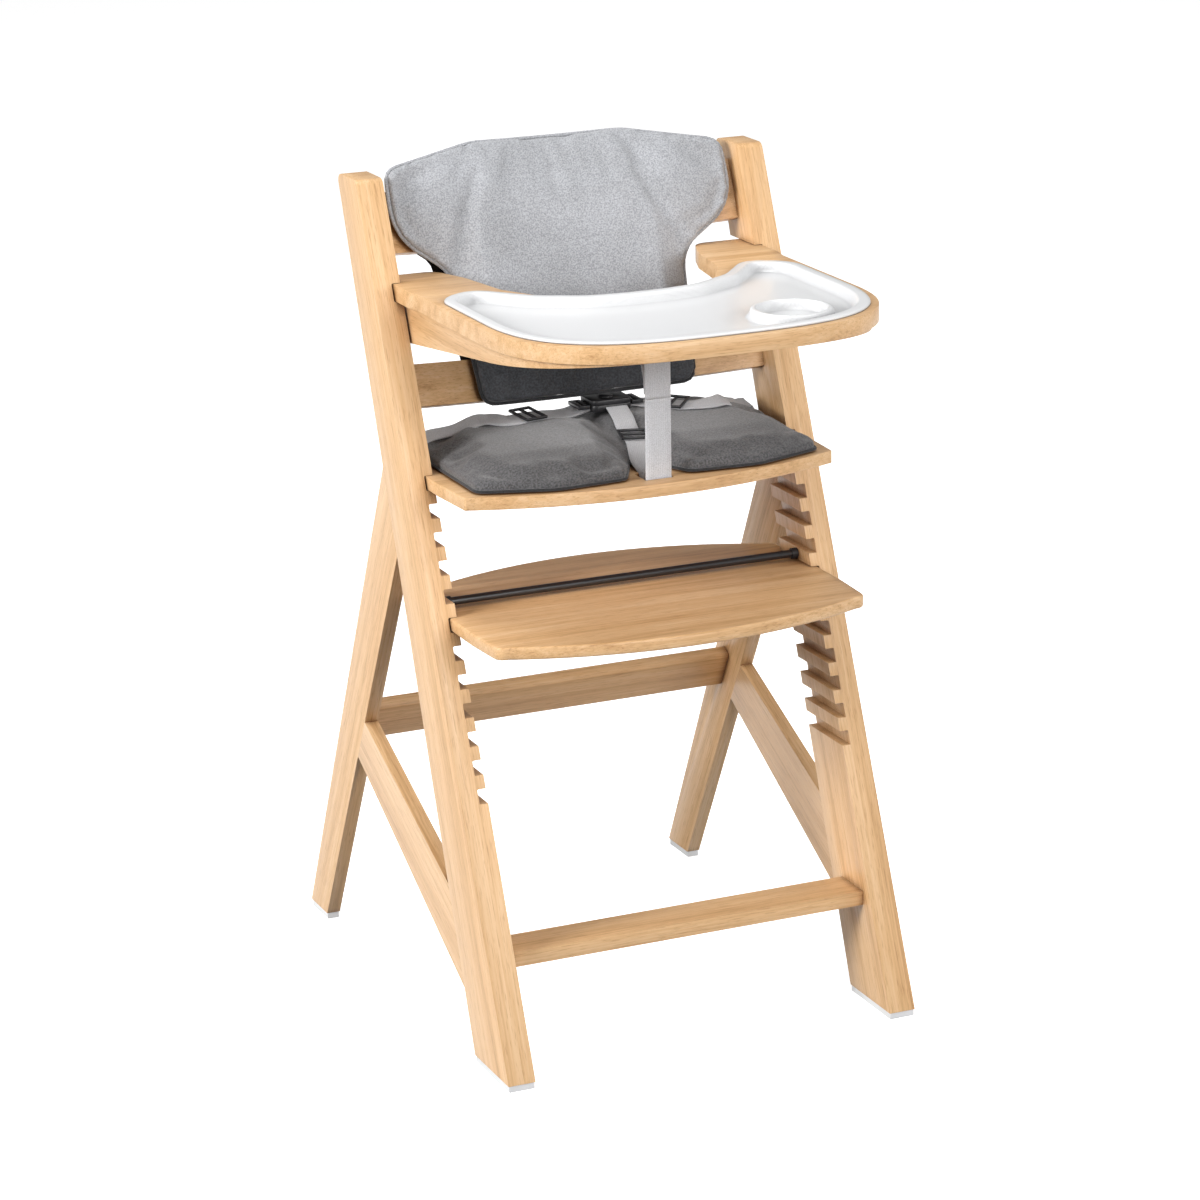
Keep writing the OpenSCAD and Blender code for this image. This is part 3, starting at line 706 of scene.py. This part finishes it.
dowel_wood = oak("dowel_beech", (0, 0, 0), 21.0)
dress([n for n in nodes if "dowels" in n], dowel_wood)
dress(["footrest_tie_rod"], moulded("black_enamel", (0.012, 0.012, 0.014), 0.3, 0.03, 0.4))
black = moulded("black_plastic", (0.018, 0.018, 0.02), 0.38, 0.10)
SMALL_PLASTIC = ["crotch_slider", "left_slider", "right_slider", "left_tongue", "right_tongue",
                 "tray_strap_plate"]
dress(["tie_rod_collars", "strap_retainers", "buckle_body", "buckle_cover"] + SMALL_PLASTIC, black)
dress(["buckle_button"], moulded("button_plastic", (0.03, 0.03, 0.033), 0.3, 0.06))
glide_plastic = moulded("glide_plastic", (0.82, 0.82, 0.83), 0.5, 0.08)
dress([n for n in nodes if n.endswith("_glide")], glide_plastic)
dress([n for n in nodes if n.endswith("_screws")] + ["button_spring"], plated("plated_steel"))
for name in ("left_front_glide", "right_front_glide", "left_rear_glide", "right_rear_glide"):
    soften(name, 1.5 * MM, 3)
for name in SMALL_PLASTIC:
    soften(name, 0.7 * MM, 2)
for name in ("buckle_body", "buckle_cover", "buckle_button"):
    soften(name, 0.9 * MM, 2)

# ---------------------------------------------------------------- tray insert

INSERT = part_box("tray_insert")
TRAY_MID_Y = FRONT_Y0 + 120 * MM
RIM_TOP = INSERT[1].z
WELL_FLOOR = TRAY_TOP - 7.2 * MM
CUP_AT = np.array([103 * MM, FRONT_Y0 + 24 * MM])
CUP_RADIUS = 37 * MM
INSERT_HALF = 208.5
# X, Y from the uprights' front line and corner radius, in mm, of the insert's right rear edge
INSERT_REAR = [(INSERT_HALF, 234, 46), (160, 262, 30), (112, 204, 50), (62, 176, 80), (20, 170.5, 40)]


def super_front(half, reach, power, middle, count=60):
    """The front of the tray as a superellipse, from the left side round to the right."""
    out = []
    for i in range(count + 1):
        angle = math.pi + math.pi * i / count
        c, s = math.cos(angle), -math.sin(angle)
        out.append((math.copysign(half * abs(c) ** (2 / power), c),
                    middle - reach * max(0.0, s) ** (2 / power)))
    return out


def smoothstep(low, high, x):
    t = np.clip((x - low) / (high - low), 0, 1)
    return t * t * (3 - 2 * t)


def insert_edge():
    """The insert's outline: a superellipse in front, and two wings with a bay for the child behind."""
    front = super_front(INSERT_HALF * MM, 174 * MM, 2.9, TRAY_MID_Y)[1:-1]
    right = [(x * MM, FRONT_Y0 + y * MM, r * MM) for x, y, r in INSERT_REAR]
    left = [(-x, y, r) for x, y, r in reversed(right)]
    corners = [(x, y, 0.0) for x, y in front] + right + left
    return rounded_outline(corners, 3 * MM)


def make_insert():
    """A moulded insert: rounded rim, sloping walls, a flat well and a round wall for a cup."""
    edge = insert_edge()
    rim = RIM_TOP - 0.2 * MM
    points, faces = filled(edge, 2.5 * MM, [inset_loop(edge, 0.35 * MM), inset_loop(edge, 1.2 * MM)])
    depth = edge_distance(points, edge)
    round_edge = np.sqrt(np.clip(1 - (1 - np.minimum(depth, 2.4 * MM) / (2.4 * MM)) ** 2, 0, 1))
    lip = TRAY_TOP + 0.4 * MM + (rim - TRAY_TOP - 0.4 * MM) * round_edge
    well = lip + (WELL_FLOOR - lip) * smoothstep(12.5 * MM, 17.5 * MM, depth)
    away = np.linalg.norm(points - CUP_AT, axis=1)
    ring = smoothstep(CUP_RADIUS - 3.5 * MM, CUP_RADIUS + 1 * MM, away) * (
        1 - smoothstep(CUP_RADIUS + 5 * MM, CUP_RADIUS + 10 * MM, away))
    z = np.maximum(well, WELL_FLOOR + (rim - WELL_FLOOR) * ring)
    verts = [Vector((x, y, h)) for (x, y), h in zip(points.tolist(), z.tolist())]
    obj = new_piece("insert_shell", verts, faces, white_plastic)
    if sum(p.normal.z for p in obj.data.polygons) < 0:
        obj.data.flip_normals()
    solid = obj.modifiers.new("wall", "SOLIDIFY")
    solid.thickness = 1.6 * MM
    solid.offset = -1
    apply_modifiers(obj)
    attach(obj, "insert")
    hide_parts("tray_insert")


white_plastic = moulded("white_plastic", (0.76, 0.765, 0.77), 0.30, 0.02, 0.2)
# Painted shade: the insert's walls and cup recess are darkened in its colour, where shade falls.
shade_creases(white_plastic, 32 * MM, (0.34, 0.34, 0.35), 0.95)
make_insert()

# ---------------------------------------------------------------- seat pad

# The seat pad's fabric is a darker grey, and its colour is made darker still as painted shade for the shadow
# of the tray above it.
seat_fabric = woven("seat_fabric", (0.085, 0.083, 0.085), 0.42, ("X", "Y"))
back_fabric = woven("back_fabric", (0.355, 0.362, 0.38), 0.26, ("X", "Z"), 620.0)
# The lower panel is near-black fabric, and its colour also stands in for the shade under the tray: painted
# shade.
panel_fabric_and_shade = woven("panel_fabric_and_shade", (0.030, 0.032, 0.037), 0.45, ("X", "Z"))
black_fabric = woven("black_fabric", (0.014, 0.014, 0.016), 0.5, ("X", "Z"))
webbing = ribbed("webbing", (0.59, 0.595, 0.62))
# Painted shade: the harness straps use the tray strap's webbing in a darker copy, standing in for the shade
# they lie in.
harness_webbing_painted_shade = ribbed("harness_webbing_painted_shade", (0.42, 0.42, 0.435))

# X, Y from the uprights' front line and corner radius, in mm, of the pad's right half
SEAT_PAD = [(38, 134, 12), (120, 128, 60), (204, 156, 12), (203, 366, 20), (120, 402, 60)]
SEAT_PAD_NOTCH = (0, 212, 14)      # the middle of its front edge, where the crotch strap goes down
SEAT_PAD_MIDDLE = 0.27       # Y in m that the slab shrinks towards
CUT_IN = 0.985               # the slabs start this much smaller, because they swell


def mirrored_outline(right, middle):
    """A closed outline in m from its right half in mm; middle is its corner on X = 0, or None."""
    side = [(x * MM, y * MM, r * MM) for x, y, r in right]
    other = [(-x, y, r) for x, y, r in reversed(side)]
    return [tuple(v * MM for v in middle)] + side + other if middle else side + other


def pleats(points, outline, seed, reach, amount):
    """Small wrinkles square to the edge, which fade away from it."""
    depth = edge_distance(points, outline)
    fade = np.exp(-depth / reach)
    wrinkle = np.array([noise.noise(Vector((x * 55, y * 55, seed))) + 0.5 * noise.noise(
        Vector((x * 120, y * 120, seed + 5))) for x, y in points])
    return amount * fade * wrinkle


# Y and height over the board of the crotch strap, which presses the pad down
CROTCH_DIP = [(176, 3), (198, 6), (222, 14), (276, 19), (292, 27), (308, 40)]


def crotch_line(y):
    """X of the crotch strap's middle and its height over the seat board, both in mm, at a Y in mm."""
    return np.interp(y, [162, 182, 240, 316], [2, 2, 20, 32]), np.interp(y, *zip(*CROTCH_DIP))


def make_seat_pad():
    corners = mirrored_outline(SEAT_PAD, SEAT_PAD_NOTCH)
    inner = rounded_outline([(x * CUT_IN, (y - SEAT_PAD_MIDDLE) * CUT_IN + SEAT_PAD_MIDDLE, r)
                             for x, y, r in corners], 7 * MM)
    inner = inner + np.array([0, FRONT_Y0])
    low = SEAT_TOP + 1.2 * MM
    obj = slab("seat_pad", inner, low, low + 11 * MM, lambda x, y, h: Vector((x, y, h)), seat_fabric, 3)

    def held(co):
        near = edge_distance(np.array([co[:2]]), inner)[0]
        return 1.0 if near < 5 * MM or co[2] < low + 1 * MM else 0.0
    coords = puff(obj, 5.0 * MM, 19 * MM, 4.5, held, 0.06)
    flat = coords[:, :2]
    top = coords[:, 2] > low + 5 * MM
    coords[top, 2] += pleats(flat, inner, 3.0, 30 * MM, 2.6 * MM)[top]
    middle, dip = crotch_line((coords[:, 1] - FRONT_Y0) / MM)
    aside = np.abs(coords[:, 0] - middle * MM)
    pressed = SEAT_TOP + dip * MM - 1.5 * MM + 24 * MM * smoothstep(15 * MM, 40 * MM, aside)
    coords[top, 2] = np.minimum(coords[top, 2], np.maximum(pressed[top], low + 5 * MM))
    coords[:, 2] = np.clip(coords[:, 2], SEAT_TOP + 0.6 * MM, PAD_TOP + 3 * MM)
    finish_pad(obj, coords)
    obj.data.materials.append(black_fabric)
    for polygon in obj.data.polygons:
        if polygon.center.z < low + 3.0 * MM and polygon.normal.z < 0.35:
            polygon.material_index = 1
    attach(obj, "seat")
    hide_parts("seat_cushion")
    line = [Vector((x, y, low + 2.2 * MM)) for x, y in inner]
    seam = tube("seat_pad_piping", line, 1.7 * MM, black_fabric)
    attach(seam, "seat")
    return obj


seat_pad = make_seat_pad()

# ---------------------------------------------------------------- back pad and its sleeve

# X, distance up the lean and corner radius, in mm, of the pad's right half
BACK_PAD = [(92, 1029, 110), (204, 1003, 20), (206, 930, 62), (140, 886, 48), (133, 790, 30), (129, 738, 16)]
PANEL_SEAM = 800 * MM        # below this height up the lean the pad's cover is its dark lower panel, whose near-black colour is also painted shade under the tray
BACKWARD = (0, math.cos(LEAN), -math.sin(LEAN))     # square to the uprights' front faces


def on_pad(x, up, height):
    """A point on the back pad: height is measured forwards from the slats' front."""
    return from_lean(x, up, slat_depth(x) - 1.5 * MM - height)


def make_back_pad():
    corners = mirrored_outline(BACK_PAD, None)
    outline = rounded_outline([(x * CUT_IN, y, r) for x, y, r in corners], 7 * MM)
    obj = slab("back_pad", outline, 6 * MM, 18 * MM, on_pad, back_fabric, 3)

    def flat_place(co):
        up = (co[1] - FRONT_Y0) * UP_LEAN[1] + co[2] * UP_LEAN[2]
        return np.array([[co[0], up]])

    def held(co):
        near = edge_distance(flat_place(co), outline)[0]
        return 1.0 if near < 4 * MM else 0.0
    coords = puff(obj, 5.5 * MM, 15 * MM, 4.0, held, 0.022)
    flat = np.concatenate([flat_place(co) for co in coords])
    back = (coords[:, 1] - FRONT_Y0) * math.cos(LEAN) - coords[:, 2] * math.sin(LEAN)
    faces_front = back < np.array([slat_depth(x) for x in flat[:, 0]]) - 13.5 * MM
    wrinkle = pleats(flat, outline, 9.0, 45 * MM, 2.2 * MM)
    forward = -np.array(BACKWARD)
    depth = edge_distance(flat, outline)
    swell = 0 * depth
    coords += np.where(faces_front, wrinkle + swell, 0)[:, None] * forward
    limit = np.array([slat_depth(x) for x in coords[:, 0]]) - 1.0 * MM
    back = (coords[:, 1] - FRONT_Y0) * math.cos(LEAN) - coords[:, 2] * math.sin(LEAN)
    coords += np.maximum(0, back - limit)[:, None] * forward
    finish_pad(obj, coords)
    obj.data.materials.append(panel_fabric_and_shade)
    obj.data.materials.append(black_fabric)
    for polygon in obj.data.polygons:
        up = flat_place(polygon.center)[0][1]
        # Faces below PANEL_SEAM take the lower panel's colour, which is partly painted shade.
        polygon.material_index = 2 if polygon.normal.y > 0.3 else int(up < PANEL_SEAM)
    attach(obj, "frame")
    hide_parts("back_cushion")
    above = outline[:, 1] > PANEL_SEAM
    first = int(np.argmax(above & ~np.roll(above, 1)))
    line = [on_pad(x, up, 10 * MM) for x, up in np.roll(outline, -first, axis=0)]
    split = int(above.sum())
    for name, points, fabric, slot in (("back_pad_piping", line[:split + 1], back_fabric, "back_fabric"),
                                       ("lower_panel_piping", line[split:] + line[:1], black_fabric,
                                        "sleeve_fabric")):
        seam = tube(name, points, 2.2 * MM, fabric, closed=False)
        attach(seam, "frame")
    surface = surface_tree(obj.data)
    across = [surface.ray_cast(on_pad(x, PANEL_SEAM, 80 * MM), Vector(BACKWARD))[0]
              for x in np.linspace(-129 * MM, 129 * MM, 44).tolist()]
    seam = tube("panel_seam", [p for p in across if p], 2.0 * MM, black_fabric, closed=False)
    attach(seam, "frame")


def make_sleeve():
    """The cover's black rear panel: up behind both slats, over the upper one and down to the pad."""
    slat_top = (914 + 68) * MM
    hem = 746 * MM
    behind = SLAT_THICK + 3.5 * MM
    path = [(hem + (slat_top - hem) * t, behind) for t in np.linspace(0, 1, 36)]
    turn = [(slat_top + 5.5 * MM * math.sin(a), -2 * MM + (behind + 2 * MM) * 0.5 * (1 + math.cos(a)))
            for a in np.linspace(0.15, math.pi - 0.1, 10)]
    path += turn
    across = np.linspace(-1, 1, 61)
    verts = []
    for up, back in path:
        half = MM * np.interp(up / MM, [745, 850, 905, 928, 1000], [129, 140, 152, 184, 188])
        for t in across:
            x = half * t
            ripple = 0.9 * MM * noise.noise(Vector((x * 22, up * 30, 4.0)))
            verts.append(from_lean(x, up, slat_depth(x) + back + max(-1 * MM, ripple)))
    n = len(across)
    faces = [(k * n + i, k * n + i + 1, (k + 1) * n + i + 1, (k + 1) * n + i)
             for k in range(len(path) - 1) for i in range(n - 1)]
    obj = new_piece("back_pad_sleeve", verts, faces, black_fabric)
    solid = obj.modifiers.new("cloth_thickness", "SOLIDIFY")
    solid.thickness = 1.4 * MM
    solid.offset = 0
    apply_modifiers(obj)
    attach(obj, "frame")
    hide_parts("back_cushion_sleeve")


make_back_pad()
make_sleeve()

# ---------------------------------------------------------------- harness webbing

WEB = 25 * MM
TRAY_WEB = 30 * MM
WAIST_DROP = (205.6, 338)    # X and Y where a waist strap goes down, in mm from the uprights' front line
UNDER_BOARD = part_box("seat_board")[0].z - 6 * MM     # where the straps' hidden ends stop
SLIDER_LIFT = 1.9 * MM       # a slider's underside over its strap's middle


def tipped(along):
    """A waist strap tips a little towards the front, and looks outwards where it drops beside the pad."""
    return math.copysign(2 * abs(along.z), along.x), -0.2, 1


def upwards(along):
    """The crotch strap looks up, and forwards where it drops through the board."""
    return 0, -abs(along.z), 1


def forwards(along):
    return 0, -1, 0


seat_height = surface_below(seat_pad)


def lie(points, lift=2.6 * MM):
    """Points (x, y, extra height) in mm from the uprights' front line, laid on the seat pad."""
    out = []
    for x, y, extra in points:
        x, y = x * MM, FRONT_Y0 + y * MM
        out.append((x, y, seat_height(x, y, SEAT_TOP + 4 * MM) + lift + extra * MM))
    return out


def waist_drop(side):
    """The last two points of a waist strap, straight down beside the pad and through the board."""
    x, y = side * WAIST_DROP[0] * MM, FRONT_Y0 + WAIST_DROP[1] * MM
    return [(x, y, SEAT_TOP + 12 * MM), (x, y, UNDER_BOARD)]


def make_waist_straps():
    left = lie([(4, 338, 6), (-22, 338, 2), (-45, 335, 0.6), (-70, 328, 0.6), (-95, 321, 0.6), (-125, 330, 3),
                (-152, 337, 1), (-180, 338, 1), (-198, 338, 2)]) + waist_drop(-1)
    tip = BUCKLE_AT.z
    left[0] = (left[0][0], left[0][1], tip)
    piece = strap("left_waist_webbing", left, WEB, harness_webbing_painted_shade, tipped)
    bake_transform(piece)
    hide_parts("left_waist_strap")
    ladder_slider("left_slider", left, (-70, 328), tipped)
    right = lie([(54, 338, 6), (68, 331, 0.8), (84, 317, 0.6), (95, 307, 0.6), (108, 295, 0.6), (128, 288, 2),
                 (150, 292, 2), (172, 314, 1), (194, 336, 2)]) + waist_drop(1)
    right[0] = (right[0][0], right[0][1], tip)
    piece = strap("right_waist_webbing", right, WEB, harness_webbing_painted_shade, tipped)
    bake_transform(piece)
    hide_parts("right_waist_strap")
    ladder_slider("right_slider", right, (95, 306.75), tipped)


def make_crotch_strap():
    path = lie([(33, 322, 3), (31, 310, 1)])
    for y in (290, 274, 252, 226, 204, 182):
        x, height = crotch_line(y)
        path.append((x * MM, FRONT_Y0 + y * MM, SEAT_TOP + (height + 1.5) * MM))
    path += [(2 * MM, FRONT_Y0 + 163 * MM, SEAT_TOP - 3 * MM), (2 * MM, FRONT_Y0 + 162 * MM, UNDER_BOARD)]
    piece = strap("crotch_webbing", path, WEB, harness_webbing_painted_shade, upwards)
    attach(piece, "seat")
    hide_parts("crotch_strap")
    ladder_slider("crotch_slider", path, (20.6, 244), upwards)


def ladder_slider(name, path, place, facing):
    """A flat plastic slider with two windows and a middle bar, on a strap where it passes place, in mm."""
    line, _ = spline(path, 120)
    goal = Vector((place[0] * MM, FRONT_Y0 + place[1] * MM))
    at = min(range(3, 117), key=lambda i: (line[i].xy - goal).length)
    along = (line[at + 3] - line[at - 3]).normalized()
    side = along.cross(Vector(facing(along))).normalized()
    up = side.cross(along)
    long, wide, bar, thick = 15 * MM, 16.5 * MM, 2.6 * MM, 3.2 * MM
    across = [-wide, bar - wide, wide - bar, wide]
    lengthwise = [-long, bar - long, -bar / 2, bar / 2, long - bar, long]
    bm = bmesh.new()
    corners = [[[bm.verts.new(line[at] + along * u + side * v + up * (w + SLIDER_LIFT)) for v in across]
                for u in lengthwise] for w in (0, thick)]
    solid = {(i, j) for i in range(5) for j in range(3) if j != 1 or i in (0, 2, 4)}
    for i, j in sorted(solid):
        quad = [(i, j), (i + 1, j), (i + 1, j + 1), (i, j + 1)]
        for layer in corners:
            bm.faces.new([layer[a][b] for a, b in quad])
        around = ((i, j - 1), (i + 1, j), (i, j + 1), (i - 1, j))
        for (a, b), (c, d), beside in zip(quad, quad[1:] + quad[:1], around):
            if beside not in solid:
                bm.faces.new([corners[0][a][b], corners[0][c][d], corners[1][c][d], corners[1][a][b]])
    bmesh.ops.recalc_face_normals(bm, faces=bm.faces)
    mesh = bpy.data.meshes.new(name + "_frame")
    bm.to_mesh(mesh)
    bm.free()
    obj = bpy.data.objects.new(name + "_frame", mesh)
    bpy.context.scene.collection.objects.link(obj)
    mesh.materials.append(black)
    ease = obj.modifiers.new("ease", "BEVEL")
    ease.width = 0.8 * MM
    ease.segments = 2
    ease.limit_method = "ANGLE"
    apply_modifiers(obj)
    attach(obj, name)
    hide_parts(name)


def make_tray_strap():
    """The strap from the tray to the seat, in two halves that meet halfway, and its return run."""
    y = FRONT_Y0 + 136.4 * MM
    top = TRAY_UNDER - 2.8 * MM
    middle = (top + SEAT_TOP) / 2
    upper = strap("tray_strap_upper", [(0, y, middle), (0, y, (middle + top) / 2), (0, y, top)], TRAY_WEB,
                  webbing, forwards, 1.8 * MM)
    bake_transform(upper)
    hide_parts("tray_strap")
    lower = strap("tray_strap_lower", [(0, y, UNDER_BOARD), (0, y, SEAT_TOP), (0, y, middle)], TRAY_WEB,
                  webbing, forwards, 1.8 * MM)
    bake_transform(lower)
    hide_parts("tray_strap")
    back = [(0, y + 2.4 * MM, middle + 6 * MM), (0, y + 4 * MM, middle + 24 * MM),
            (0, y + 15 * MM, (middle + top) / 2 + 10 * MM), (0, y + 23 * MM, top)]
    rear = strap("tray_strap_return", back, TRAY_WEB, webbing, forwards, 1.8 * MM)
    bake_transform(rear)


make_waist_straps()
make_crotch_strap()
make_tray_strap()
